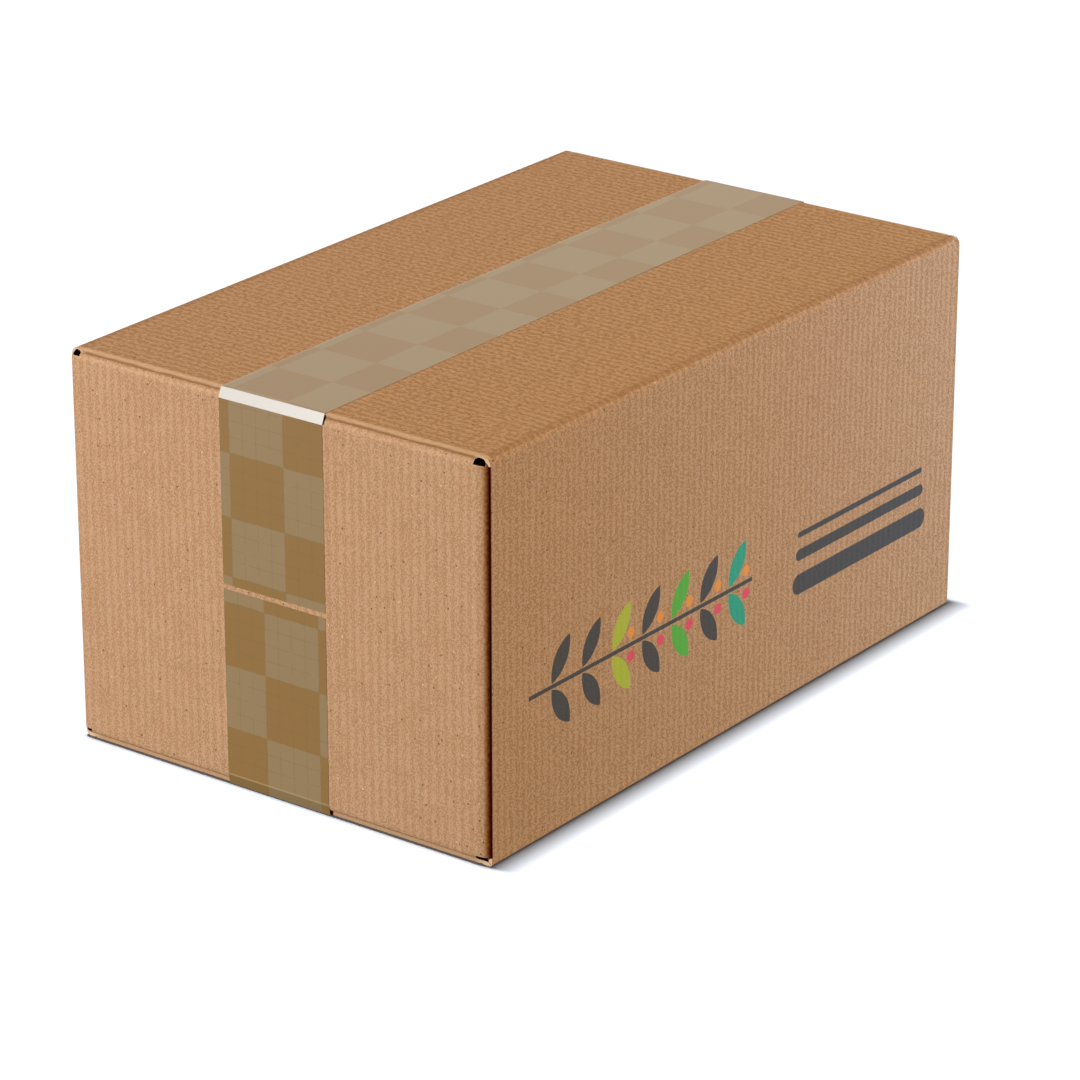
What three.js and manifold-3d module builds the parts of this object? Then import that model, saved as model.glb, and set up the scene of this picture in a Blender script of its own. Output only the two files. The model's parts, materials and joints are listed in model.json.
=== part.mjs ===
// A shut corrugated carton, sealed along its middle by two strips of packing tape.
// Millimetres, +Z up. The origin is the middle of the underside, +X runs along the carton.
import * as THREE from "three";
import { mergeVertices } from "three/addons/utils/BufferGeometryUtils.js";
import Module from "manifold-3d";

// Carton: the side panels and the flaps folded from them make a sleeve, open at both ends
const SLEEVE_LENGTH = 327;
const WIDTH = 207.5;
const HEIGHT = 168;
const BOARD = 1.6; // thickness of the corrugated board
const TOP_FOLD_RADIUS = 3.5; // outside radius of the folds along the two long top edges
const LOW_FOLD_RADIUS = 2; // the same at the underside, pressed tighter by the weight

// End panels: they close the sleeve and stand a little proud of the flaps' cut edges
const END_PROUD = 1.6; // end panel's face beyond the flaps' cut edges
const END_FOLD_REACH = 1; // how far the end panel's folds run in behind the cut edges
const END_FOLD_DROP = 4; // height of the end panel's folds under the top and bottom flaps
const CORNER_FOLD_RUN = 3; // width of the plain vertical folds, seen from the end
const END_EMBED = 6; // depth of the end panel's solid inside the sleeve

// Glued joint: at one vertical edge the side panel's raw edge laps the end panel's fold
const JOINT_RUN = 7; // where the end panel starts to turn in, from the side's face
const JOINT_DEPTH = 2.5; // depth of the gap behind the flaps' cut edges
const JOINT_LIP = 0.4; // the side panel's crushed edge
const JOINT_GAP = 0.8; // width of the gap at its bottom

// Slots at the corners of each end, between the flaps' folds and the end panel's corners
const SLOT_DEPTH = 5; // into the sleeve
const SLOT_INSET = 1.8; // from the side's face, so the board's edge shows round the slot
const TOP_SLOT_SILL = 4.7; // the slot's straight lower edge, below the top
const TOP_SLOT_RISE = 2.8;
const LOW_SLOT_SILL = 1.2; // the slot's lower edge, above the underside
const LOW_SLOT_HEAD = 2.9; // the slot's upper edge, above the underside
const JOINT_SLOTS = { top: 4.4, low: 4.6 }; // widths of the slots at the glued joint
const FOLD_SLOTS = { top: 3.6, low: 2 }; // widths of the slots at the plain folds

// Packing tape: each strip runs along one face and down, or up, both end panels
const TAPE_WIDTH = 51.4;
const TAPE_OFFSET = 1; // the strips lie a little to the +Y side of the middle
const TAPE_THICKNESS = 0.2;
const GLUE_LINE = 0.05; // gap between a strip and the board
const TAPE_BRIDGE = 4.2; // height that a strip spans from a flap's edge to the end panel
const LEG_GAP = 2.1; // bare board between the two strips' ends
const LEG_GAP_MIDDLE = 85.2; // height of the middle of that gap
const SEAT_DEPTH = 0.3; // how deep the lower strip presses into the underside
const SEAT_SIDE = 0.3; // room beside the strip in that seat

const ARC_STEPS = 10; // straight pieces in a quarter turn
const OVERRUN = 1; // how far a cutter passes the face that it opens

const HALF_LENGTH = SLEEVE_LENGTH / 2;
const HALF_WIDTH = WIDTH / 2;
const END_FACE = HALF_LENGTH + END_PROUD;
const TAPE_LOW_Y = TAPE_OFFSET - TAPE_WIDTH / 2;
const TAPE_HIGH_Y = TAPE_OFFSET + TAPE_WIDTH / 2;

const wasm = await Module();
wasm.setup();

// A closed three.js geometry as a solid that can be joined and cut
function solidFrom(geometry) {
  geometry.deleteAttribute("normal");
  geometry.deleteAttribute("uv");
  const merged = mergeVertices(geometry);
  return new wasm.Manifold(
    new wasm.Mesh({
      numProp: 3,
      vertProperties: new Float32Array(merged.attributes.position.array),
      triVerts: new Uint32Array(merged.index.array),
    }),
  );
}

function geometryFrom(solid) {
  const mesh = solid.getMesh();
  const geometry = new THREE.BufferGeometry();
  geometry.setAttribute("position", new THREE.BufferAttribute(mesh.vertProperties, mesh.numProp));
  geometry.setIndex(new THREE.BufferAttribute(mesh.triVerts, 1));
  geometry.computeVertexNormals();
  return geometry;
}

// Where a shape's own two axes and its depth point, for a prism along each of the part's axes
const ALONG_X = new THREE.Matrix4().makeBasis(
  new THREE.Vector3(0, 1, 0),
  new THREE.Vector3(0, 0, 1),
  new THREE.Vector3(1, 0, 0),
);
const ALONG_Y = new THREE.Matrix4().makeBasis(
  new THREE.Vector3(1, 0, 0),
  new THREE.Vector3(0, 0, 1),
  new THREE.Vector3(0, -1, 0),
);
const ALONG_Z = new THREE.Matrix4();

// A shape drawn in (y, z), (x, z) or (x, y) and drawn out along the third axis, from low to high
function prism(shape, direction, low, high) {
  const geometry = new THREE.ExtrudeGeometry(shape, {
    depth: high - low,
    bevelEnabled: false,
    curveSegments: ARC_STEPS,
  });
  geometry.translate(0, 0, direction === ALONG_Y ? -high : low);
  geometry.applyMatrix4(direction);
  return geometry;
}

// A rectangle between two opposite corners
function rectangle(u1, v1, u2, v2) {
  const shape = new THREE.Shape();
  shape.moveTo(u1, v1);
  shape.lineTo(u2, v1);
  shape.lineTo(u2, v2);
  shape.lineTo(u1, v2);
  shape.closePath();
  return shape;
}

// The sleeve's section in (y, z)
function sleeveSection() {
  const topMiddle = HEIGHT - TOP_FOLD_RADIUS;
  const shape = new THREE.Shape();
  shape.absarc(HALF_WIDTH - LOW_FOLD_RADIUS, LOW_FOLD_RADIUS, LOW_FOLD_RADIUS, -Math.PI / 2, 0);
  shape.absarc(HALF_WIDTH - TOP_FOLD_RADIUS, topMiddle, TOP_FOLD_RADIUS, 0, Math.PI / 2);
  shape.absarc(TOP_FOLD_RADIUS - HALF_WIDTH, topMiddle, TOP_FOLD_RADIUS, Math.PI / 2, Math.PI);
  shape.absarc(LOW_FOLD_RADIUS - HALF_WIDTH, LOW_FOLD_RADIUS, LOW_FOLD_RADIUS, Math.PI, Math.PI * 1.5);
  shape.closePath();
  return shape;
}

// A slot under the flap's fold: a straight sill and a round head, at the +Y or -Y side
function topSlot(side, widths) {
  const middle = side * (HALF_WIDTH - SLOT_INSET - widths.top / 2);
  const shape = new THREE.Shape();
  shape.absellipse(middle, HEIGHT - TOP_SLOT_SILL, widths.top / 2, TOP_SLOT_RISE, 0, Math.PI);
  shape.closePath();
  return shape;
}

// A slot above the lower flap's fold: a low dash
function lowSlot(side, widths) {
  const outer = side * (HALF_WIDTH - SLOT_INSET);
  return rectangle(outer, LOW_SLOT_SILL, outer - side * widths.low, LOW_SLOT_HEAD);
}

// What the joint's slots take off the end panel's two corners, out to the side's face
function jointNotches() {
  const outside = -HALF_WIDTH - OVERRUN;
  const topInner = SLOT_INSET + JOINT_SLOTS.top / 2 - HALF_WIDTH;
  const lowInner = SLOT_INSET + JOINT_SLOTS.low - HALF_WIDTH;
  return [
    rectangle(outside, HEIGHT - TOP_SLOT_SILL, topInner, HEIGHT),
    rectangle(outside, 0, lowInner, LOW_SLOT_HEAD),
  ];
}

// The end panel's profile in (x, z) at the -X end, with its folds under the two flaps
function panelProfile() {
  const axis = -HALF_LENGTH + END_FOLD_REACH;
  const depth = END_PROUD + END_FOLD_REACH;
  const lowest = BOARD;
  const highest = HEIGHT - BOARD;
  const shape = new THREE.Shape();
  shape.moveTo(-HALF_LENGTH + END_EMBED, lowest);
  shape.lineTo(-HALF_LENGTH + END_EMBED, highest);
  shape.absellipse(axis, highest - END_FOLD_DROP, depth, END_FOLD_DROP, Math.PI / 2, Math.PI);
  shape.absellipse(axis, lowest + END_FOLD_DROP, depth, END_FOLD_DROP, Math.PI, Math.PI * 1.5);
  shape.closePath();
  return shape;
}

// The end panel's plan in (x, y) at the -X end: a plain fold at +Y, and at -Y a plain fold or
// the glued joint, where the fold turns in deeper and stops short of the side
function panelPlan(jointed) {
  const inside = -HALF_LENGTH + END_EMBED;
  const reach = jointed ? JOINT_DEPTH : END_FOLD_REACH;
  const run = jointed ? JOINT_RUN : CORNER_FOLD_RUN;
  const stop = jointed ? JOINT_LIP + JOINT_GAP : 0;
  const shape = new THREE.Shape();
  shape.moveTo(inside, HALF_WIDTH);
  shape.absellipse(
    -HALF_LENGTH + END_FOLD_REACH,
    HALF_WIDTH - CORNER_FOLD_RUN,
    END_PROUD + END_FOLD_REACH,
    CORNER_FOLD_RUN,
    Math.PI / 2,
    Math.PI,
  );
  shape.absellipse(
    -HALF_LENGTH + reach,
    run - HALF_WIDTH,
    END_PROUD + reach,
    run - stop,
    Math.PI,
    Math.PI * 1.5,
  );
  shape.lineTo(inside, stop - HALF_WIDTH);
  shape.closePath();
  return shape;
}

// An end panel at the -X end: what its profile's and its plan's prisms have in common,
// less the notches beside the glued joint
function endPanel(jointed) {
  const folded = solidFrom(prism(panelProfile(), ALONG_Y, -HALF_WIDTH, HALF_WIDTH));
  let panel = folded.intersect(solidFrom(prism(panelPlan(jointed), ALONG_Z, 0, HEIGHT)));
  for (const notch of jointed ? jointNotches() : []) {
    panel = panel.subtract(solidFrom(prism(notch, ALONG_X, -END_FACE - OVERRUN, -HALF_LENGTH)));
  }
  return panel;
}

// The four slots of the -X end, with the widths of those at the -Y side given
function endSlots(nearWidths) {
  const shapes = [
    topSlot(1, FOLD_SLOTS),
    lowSlot(1, FOLD_SLOTS),
    topSlot(-1, nearWidths),
    lowSlot(-1, nearWidths),
  ];
  return shapes.map((shape) => prism(shape, ALONG_X, -END_FACE - OVERRUN, -HALF_LENGTH + SLOT_DEPTH));
}

// The gap of the glued joint, between the side panel's lip and the end panel's fold
function jointCutter() {
  const shape = rectangle(
    -HALF_LENGTH - OVERRUN,
    -HALF_WIDTH + JOINT_LIP,
    -HALF_LENGTH + JOINT_DEPTH,
    -HALF_WIDTH + JOINT_RUN,
  );
  return solidFrom(prism(shape, ALONG_Z, LOW_SLOT_HEAD, HEIGHT - TOP_SLOT_SILL));
}

function tapeSeat() {
  const shape = rectangle(TAPE_LOW_Y - SEAT_SIDE, -OVERRUN, TAPE_HIGH_Y + SEAT_SIDE, SEAT_DEPTH);
  return solidFrom(prism(shape, ALONG_X, -END_FACE - OVERRUN, END_FACE + OVERRUN));
}

function carton() {
  let body = solidFrom(prism(sleeveSection(), ALONG_X, -HALF_LENGTH, HALF_LENGTH));
  body = body.subtract(jointCutter());
  body = body.add(endPanel(true));
  for (const slot of endSlots(JOINT_SLOTS)) {
    body = body.subtract(solidFrom(slot));
  }

  const farPanel = geometryFrom(endPanel(false));
  farPanel.rotateZ(Math.PI);
  body = body.add(solidFrom(farPanel));
  for (const slot of endSlots(FOLD_SLOTS)) {
    slot.rotateZ(Math.PI);
    body = body.subtract(solidFrom(slot));
  }
  return geometryFrom(body.subtract(tapeSeat()));
}

// A strip of tape. Its inner face follows half a path in (x, z) at the -X end, mirrored for the
// other end, and its outer face lies at the tape's thickness beyond it.
function tapeStrip(legEnd, bridge, edge, outward) {
  const face = END_FACE + GLUE_LINE;
  const corner = HALF_LENGTH + GLUE_LINE;
  const slope = Math.atan2(Math.abs(edge - bridge), face - corner);
  const mitreAtFace = TAPE_THICKNESS * Math.tan((Math.PI / 2 - slope) / 2);
  const mitreAtEdge = TAPE_THICKNESS * Math.tan(slope / 2);
  const inner = [
    [-face, legEnd],
    [-face, bridge],
    [-corner, edge],
  ];
  const outer = [
    [-face - TAPE_THICKNESS, legEnd],
    [-face - TAPE_THICKNESS, bridge + outward * mitreAtFace],
    [-corner - mitreAtEdge, edge + outward * TAPE_THICKNESS],
  ];
  const mirrored = (points) => points.map(([x, z]) => [-x, z]).reverse();
  const outline = [...inner, ...mirrored(inner), ...outer.map(([x, z]) => [-x, z]), ...outer.reverse()];
  const shape = new THREE.Shape(outline.map(([x, z]) => new THREE.Vector2(x, z)));
  return prism(shape, ALONG_Y, TAPE_LOW_Y, TAPE_HIGH_Y);
}

const kraftBoard = new THREE.MeshStandardMaterial({ color: 0xba8c60, roughness: 0.9, metalness: 0 });
const tanFilm = new THREE.MeshStandardMaterial({ color: 0x9c8762, roughness: 0.35, metalness: 0 });

function named(name, geometry, material) {
  const mesh = new THREE.Mesh(geometry, material);
  mesh.name = name;
  return mesh;
}

const tapedCarton = new THREE.Group();
tapedCarton.add(named("carton", carton(), kraftBoard));
tapedCarton.add(
  named(
    "tape_top",
    tapeStrip(LEG_GAP_MIDDLE + LEG_GAP / 2, HEIGHT - TAPE_BRIDGE, HEIGHT + GLUE_LINE, 1),
    tanFilm,
  ),
);
tapedCarton.add(
  named(
    "tape_bottom",
    tapeStrip(LEG_GAP_MIDDLE - LEG_GAP / 2, TAPE_BRIDGE, SEAT_DEPTH - GLUE_LINE, -1),
    tanFilm,
  ),
);

export default tapedCarton;
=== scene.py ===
"""A shut corrugated carton, sealed along its middle by two strips of packing tape.

Metres, +Z up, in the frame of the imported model: the origin is the middle of the underside,
and +X runs along the carton.
"""

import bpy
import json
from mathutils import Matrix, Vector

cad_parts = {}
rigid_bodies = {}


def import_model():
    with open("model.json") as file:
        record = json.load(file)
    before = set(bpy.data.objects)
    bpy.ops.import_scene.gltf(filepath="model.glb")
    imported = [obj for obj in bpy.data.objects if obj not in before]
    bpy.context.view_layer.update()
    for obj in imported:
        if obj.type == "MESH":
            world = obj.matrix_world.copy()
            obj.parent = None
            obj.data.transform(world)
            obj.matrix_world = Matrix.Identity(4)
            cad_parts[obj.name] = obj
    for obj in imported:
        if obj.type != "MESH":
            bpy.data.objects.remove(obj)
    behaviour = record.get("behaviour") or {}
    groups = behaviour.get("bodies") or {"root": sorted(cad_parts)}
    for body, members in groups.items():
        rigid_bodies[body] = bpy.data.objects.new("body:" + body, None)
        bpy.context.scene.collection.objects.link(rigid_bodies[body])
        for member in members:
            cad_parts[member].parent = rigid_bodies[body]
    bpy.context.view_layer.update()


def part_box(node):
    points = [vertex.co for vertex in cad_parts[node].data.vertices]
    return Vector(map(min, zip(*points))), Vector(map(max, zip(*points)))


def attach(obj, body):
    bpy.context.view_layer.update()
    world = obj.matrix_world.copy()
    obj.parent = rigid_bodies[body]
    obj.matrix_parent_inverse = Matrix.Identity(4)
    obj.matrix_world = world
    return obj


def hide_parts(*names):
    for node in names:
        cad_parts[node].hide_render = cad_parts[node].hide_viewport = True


bl_info = {
    "name": "Taped carton",
    "version": (1, 0, 0),
    "blender": (4, 5, 0),
    "location": "View3D > Sidebar > Carton",
    "description": "Folds a corrugated carton, seals it with tape and sets it in a studio",
    "category": "Object",
}

import json
import math
import random
from functools import partial

import bmesh
import bpy
from bpy.props import FloatProperty, FloatVectorProperty, PointerProperty
from mathutils import Vector

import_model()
CARTON_LOW, CARTON_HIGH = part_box("carton")
TAPE_LOW, TAPE_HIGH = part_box("tape_top")

MM = 0.001
TOUCH = 0.01 * MM  # points closer than this are at the same place
FACING = 0.9  # a normal with more than this along an axis points along it
X_AXIS, Y_AXIS = 0, 1

# Folded board
END_PROUD = 1.6 * MM  # the end panels' faces beyond the flaps' cut edges
UNDERSIDE = 0.1 * MM  # height of the lower flaps, which stand on the tape
FOLD_STEPS = 8  # straight pieces in a fold's quarter turn
FLUTE_STEPS = 8  # columns of faces in one flute
FLUTE_SEED = 7
FLUTE_DRAWS = 200  # flutes that are drawn before their depths repeat
SHALLOWEST_FLUTE = 0.7  # of the flutes' depth
CRUSH_COLUMNS = 4  # columns of faces over which a flap's edge is crushed
END_EMBED = 6 * MM  # depth of an end panel inside the sleeve
END_TUCK = 3.5 * MM  # how far its edges draw in behind the sleeve's walls
LIP_TAPER = 0.5 * MM  # over which the crushed edge at the joint gains its full thickness
SMOOTH_ANGLE = math.radians(35)

# Slots at the corners of an end, from the side's face to their outer and inner edge, and their lower and
# upper edge, below the top or above the underside
TOP_SLOTS = {
    "joint": (2.0 * MM, 7.1 * MM, -3.6 * MM, -0.9 * MM),
    "fold": (1.3 * MM, 4.9 * MM, -3.0 * MM, -0.6 * MM),
}
LOW_SLOTS = {
    "joint": (1.7 * MM, 6.8 * MM, 1.7 * MM, 3.6 * MM),
    "fold": (1.7 * MM, 4.1 * MM, 2.8 * MM, 4.1 * MM),
}
SLOT_ARCH = 0.8  # radius of a top slot's head, of its height

# Kraft paper
PAPER_ROUGHNESS = 0.85
PAPER_GLOSS = 0.2
GRAIN_BUMP = 0.15
GRAIN_RELIEF = 0.1 * MM
NOISE_MIDDLE = 0.5
EVEN, UNEVEN, ROUGH = 1, 2, 3  # octaves of a noise
FLUTE_WANDER = 1.1 * MM  # how far the flutes' tone strays from straight lines
WANDER_LENGTH = 12 * MM
BREAK_LENGTH = 9 * MM  # stretches over which a flute shows and fades
GRAIN = 0.7 * MM  # clumps of fibre, as fine as the render shows
# Of the paper on the ends, sides and flaps: strength of the flutes' lines, fineness of the grain along each
# axis, and strength of the grain
END_PAPER = (0.6, (1, 1, 0.9), 4.9)
SIDE_PAPER = (1.05, (0.65, 1, 0.9), 9.2)
FLAP_PAPER = (1.75, (0.75, 0.3, 0.6), 11.5)
FIBRE_LENGTH = 2.4 * MM
FIBRE_WIDTH = 0.8 * MM  # coarser than a real fibre, which is too fine to show
FIBRE_TONE = 1.1
MOTTLE = 9 * MM
MOTTLE_TONE = 1.0
WARM_SIZE = 6 * MM
WARM_SHARE = 0.4
SPECK_SPACING = 5.4 * MM
SPECK_SIZE = 0.43 * MM
FLECK_SPACING = 7 * MM
FLECK_SIZE = 0.36 * MM
SPECK_SHARE = 0.8

# Bands of painted shade and painted highlight, and of the joint's glue stain, along edges and folds: the
# distance at which one starts, the distance at which it is full, and its strength
RAGGED = 1.2 * MM  # size of the waves along a band
EDGE_BAND_WANDER = RAGGED / 2  # how far they reach on the flaps
JOINT_SHADE_WANDER = 1.2 * RAGGED  # and at the joint
# On the flaps: painted shade along the long folds and beside the crushed edges, and a paler crushed edge,
# partly rubbed paper and partly painted highlight
FOLD_SHADE_BAND = (5.4 * MM, 3.6 * MM, 0.3)
FLAP_SHADE_BAND = (4.4 * MM, 3.0 * MM, 0.12)
FLAP_RUB_HIGHLIGHT_BAND = (2.4 * MM, 2.0 * MM, 0.5)
# On the end panels: painted highlight on the upper folds, painted shade in the lower crease and painted
# shadow under the tape
END_FOLD_HIGHLIGHT_START = (0.4 * MM, 1.4 * MM)
END_FOLD_HIGHLIGHT_BAND = (3.5 * MM, 1.6 * MM, 0.15)
END_CREASE_SHADE_BAND = (1.7 * MM, 0.9 * MM, 0.4)
UNDER_TAPE_SHADOW_BAND = (2.6 * MM, 2.0 * MM, 1)
JOINT_SHADE_REACH = 3.6 * MM  # how far the joint's glue stain and painted shade reach on the end panel
JOINT_SHADE_EDGE = 0.5 * MM  # and on the side panel
# The end panel's edge at the joint darkens towards the gap: glue stain with painted shade, then painted shade
# alone
JOINT_STAIN_SHADE_BAND = (JOINT_SHADE_REACH, 1.5 * MM, 1)
JOINT_GLUE_SHADE_BAND = (1.9 * MM, 1.0 * MM, 1)
JOINT_GAP_SHADE_BAND = (1.2 * MM, 0.6 * MM, 1)

# Cut edges of the flaps
CORE_DEPTH = 1.35 * MM  # brown line of the core, darkened with painted shade of the crease under the flap, below the top
CORE_WANDER = 1.2 * MM  # how far that line strays
CORE_WAVE = 7 * MM
CORE_AND_CREASE_SHADE_BAND = (0.65 * MM, 0.25 * MM, 0.75)
RIM_BAND = (8 * MM, 3 * MM, 0.7)  # paler towards the corners
TAPE_SHADOW_MARGIN = 0.8 * MM  # painted shadow beside the tape, where it leaves a flap's edge

# Ornament on the long sides, seen from outside: a sprig of paired leaves, and bars beside it
PRINT_DEPTH = MM  # how far from the side's face the ink reaches round a fold
SPRIG_START = -130 * MM  # along the side, from its middle
SPRIG_HEIGHT = 62 * MM
STEM_WIDTH = 1.8 * MM
LEAF_PAIRS = 7
LEAF_PITCH = 20 * MM
LEAF_START = 4 * MM
LEAF_STALK = 1.5 * MM
LEAF_LENGTH = 21 * MM
LEAF_WIDTH = 8.5 * MM
LEAF_TILT = math.radians(56)
BARE_PAIRS = 2  # pairs of leaves before the first berries
BERRY_STEP = 13 * MM
BERRY_RISE = 5 * MM
BERRY_RADIUS = 2.4 * MM
BAR_MIDDLE = 92 * MM
BAR_LENGTH = 92 * MM
BARS = ((48 * MM, 9 * MM), (61 * MM, 5 * MM), (70 * MM, 2.5 * MM))  # height and thickness of each
INK_COVER = 0.93

# Packing tape: its grid of faces, and its checks, where one column and one row start
TAPE_CREASE = math.radians(10)
TAPE_GRID = (64, 10)
LEG_CUTS = 15
UPPER_COLUMN = -5.1 * MM
UPPER_ROW = 169.0 * MM
LOWER_COLUMN = -20.8 * MM
LOWER_ROW = 24.8 * MM
FLAT_START = 1.8 * MM  # first check on the flat stretch, from the flap's edge
SHORT_CHECK = 2.1 * MM  # what the lowest check of an upper leg lacks
SHORT_CHECK_HEIGHT = 100 * MM
RULES = 4  # fine lines in a check
RULE_WIDTH = 0.5 * MM
RULE_BREAK = 5 * MM  # stretches over which a rule shows or is missing
RULE_GAPS = 0.42  # a rule is missing where its noise is below this
RULE_SHARE = 0.24
CREASE_WIDTH = 0.8 * MM  # pale line where the film bends, or along its rim
CREASE_SHARE = 0.4
RIM_SHARE = 0.35
# painted shade on the lower strip's bridge, which faces down
LOW_BRIDGE_SHADE_SHARE = 0.4

# Softboxes that light the carton: place, side, watts and tint
SOFTBOXES = {
    "left_key": ((-1.8, 0.75, 0.35), 1.0, 59.1, "#e8f1ff"),
    "side_fill": ((0.2, -1.8, 0.4), 1.0, 19.9, "#ffeb9c"),
    "far_fill": ((0.75, -0.5, 0.12), 0.3, 10.3, "#9ec6ff"),
    "overhead": ((0, 0, 2), 1.5, 19.7, "#fff2d9"),
    "back": ((1.5, 1.1, 0.75), 2.0, 13, "#fffae7"),
}
# The floor's light, far above it: narrow along the carton, so that the shadow spreads beside its long side
FLOOR_LIGHT_PLACE = Vector((-0.15, 0.56, 20))
FLOOR_LIGHT_SIZE = (0.3, 1.45)
FLOOR_SIZE = 20
FLOOR_DROP = 0.02 * MM  # keeps the floor clear of the underside
CAMERA_AIM = Vector((2.3, -3.1, 57.6)) * MM
SENSOR_WIDTH = 36  # millimetres

# The setting that tells the variants of a kind of node apart
NODE_VARIANTS = {
    "Math": "operation",
    "VectorMath": "operation",
    "Mix": "data_type",
    "MapRange": "interpolation_type",
}


def linear(hex_colour):
    """An sRGB hex colour as linear red, green and blue."""
    channels = [int(hex_colour[i : i + 2], 16) / 255 for i in (1, 3, 5)]
    return tuple(c / 12.92 if c <= 0.04045 else ((c + 0.055) / 1.055) ** 2.4 for c in channels)


def number(name, description, default, **settings):
    return FloatProperty(name=name, description=description, default=default, **settings)


def length(name, description, default):
    return number(name, description, default, unit="LENGTH", precision=5)


def colour(name, description, hex_colour):
    default = (*linear(hex_colour), 1)
    return FloatVectorProperty(
        name=name, description=description, default=default, size=4, subtype="COLOR", min=0, max=1
    )


class CartonBoardSettings(bpy.types.PropertyGroup):
    """Sizes and colours of the corrugated board."""

    span: length("Length", "Between the flaps' cut edges", CARTON_HIGH.x - CARTON_LOW.x - 2 * END_PROUD)
    width: length("Width", "Across the two side panels", CARTON_HIGH.y - CARTON_LOW.y)
    height: length("Height", "From the ground to the top", CARTON_HIGH.z)
    thickness: length("Board", "Thickness of the corrugated board", 1.6 * MM)
    top_fold: length("Top fold", "Outside radius of the long top fold over the joint's side", 3.5 * MM)
    far_fold: length("Far fold", "Outside radius of the other long top fold", 2.8 * MM)
    low_fold: length("Low fold", "Outside radius of the long lower fold on the joint's side", 1.2 * MM)
    far_low_fold: length("Far low fold", "Outside radius of the other long lower fold", 2.2 * MM)
    score_inset: length("Score inset", "From the side's face to the score line pressed beside a fold", 5 * MM)
    score_width: length("Score width", "Width of the score line", 2 * MM)
    score_depth: length("Score depth", "Depth of the score line", 0.25 * MM)
    end_reach: length("End fold reach", "How far the end panel's folds run in behind the cut edges", 0.6 * MM)
    end_drop: length("End fold drop", "Height of the end panel's folds", 3 * MM)
    crush: length("Crushed edge", "How far the top flaps' outer edges are crushed", 0.4 * MM)
    corner_run: length("Corner run", "Width of the plain vertical folds, seen from the end", 3 * MM)
    joint_run: length("Joint run", "Where the end panel turns in at the glued joint", 7 * MM)
    joint_depth: length("Joint depth", "Depth of the glued joint's gap behind the cut edges", 0.8 * MM)
    joint_lip: length("Joint lip", "Thickness of the side panel's crushed edge", 0.15 * MM)
    joint_gap: length("Joint gap", "Room between that edge and the end of the panel's fold", 0.2 * MM)
    flute_pitch: length("Flute pitch", "Distance between two flutes", 4.02 * MM)
    flute_depth: length("Flute depth", "Depth of the valleys that the flutes press into the liner", 0.05 * MM)
    # Crest and valley span the paper's own tone; across the flutes the darker valleys are partly painted
    # shade
    crest: colour("Crest", "Kraft paper on the flutes' crests", "#b8906d")
    valley: colour("Valley", "Kraft paper in the flutes' valleys", "#9c744f")
    cut: colour("Cut edge", "Raw edge of the board", "#b8926c")
    # Glue stain with painted shade at the joint; the gap colour is painted shade, deep in the joint and
    # beside the tape
    stain_and_shade: colour("Stain", "Paper stained at the joint's edge", "#794c24")
    glue_and_shade: colour("Glue", "Paper soaked with glue at the joint", "#58290a")
    gap: colour("Gap", "Paper deep in the joint's gap", "#550801")
    warm: colour("Warm paper", "Clouds of redder fibre", "#b47c4b")
    # Pale flecks and rims, and painted highlight on folds and crushed edges
    pale: colour("Rubbed paper", "Paper rubbed pale at folds and edges", "#d6b08a")
    # Painted shade in the creases under the flaps and in bands along folds, and the darker line of the core
    crease: colour("Crease", "Paper in the creases under the flaps", "#85552c")
    speck: colour("Specks", "Dark flecks in the paper", "#5a3c22")
    # Painted shade for board that no light reaches, in the slots and under the tape
    unlit: colour("Inside", "Board seen through the slots, in the dark", "#1a0602")


class CartonTapeSettings(bpy.types.PropertyGroup):
    """Sizes and colours of the packing tape."""

    thickness: length("Film", "Thickness of the tape", 0.06 * MM)
    lift: length("Lift", "Height of the tape's face over the board", 0.1 * MM)
    bridge: length("Bridge", "Height that the tape spans from a top flap's edge to the end panel", 4.2 * MM)
    low_bridge: length("Low bridge", "Height that it spans from a lower flap's edge", 4.4 * MM)
    slack: length("Slack", "How far the lower tape stands off the flaps' edges", 0.9 * MM)
    cell: length("Cell", "Side of one square of the tape's checks", 27 * MM)
    pale: colour("Pale check", "Pale squares", "#896f4a")
    deep: colour("Deep check", "Deep squares", "#846131")
    rule: colour("Rules", "Fine lines that divide the checks", "#6b5632")
    # Painted highlight: film spanning a gap, coloured near white, partly milky loose film and partly the
    # softboxes' reflection; also the paler rim
    milky_and_highlight: colour("Loose film", "Film that spans a gap and looks milky", "#aa9b86")
    bend: colour("Bent film", "Film along a sharp bend", "#b29a66")


class CartonPrintSettings(bpy.types.PropertyGroup):
    """Inks of the ornament on the long sides."""

    charcoal: colour("Charcoal", "Stems, leaves and bars", "#3a3d3e")
    lime: colour("Lime", "Young leaves", "#a6ae2f")
    green: colour("Green", "Leaves", "#4ea43a")
    teal: colour("Teal", "Leaves at the tip", "#12957a")
    orange: colour("Orange", "Upper berries", "#e08a3c")
    red: colour("Red", "Lower berries", "#d8455c")


class CartonStageSettings(bpy.types.PropertyGroup):
    """Camera and studio."""

    azimuth: number("Azimuth", "Heading of the view from +Y", math.radians(53.30), subtype="ANGLE")
    elevation: number("Elevation", "How far the view looks down", math.radians(21.94), subtype="ANGLE")
    distance: length("Distance", "From the camera to the point that it looks at", 1.9647)
    lens: number("Lens", "Focal length in millimetres", 157.05, unit="CAMERA")
    ambient: number("Ambient", "Strength of the even light from all round", 0.22)
    ambient_tint: colour("Ambient tint", "Colour of that light", "#fff4e4")
    floor_light: number("Floor light", "Strength of the floor's own light", 7.85)
    floor_tint: colour("Floor tint", "Colour of the floor's light", "#ffeed3")
    floor: colour("Floor", "Pale studio floor", "#a5b5d2")


def near(a, b):
    return abs(a - b) < TOUCH


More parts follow.
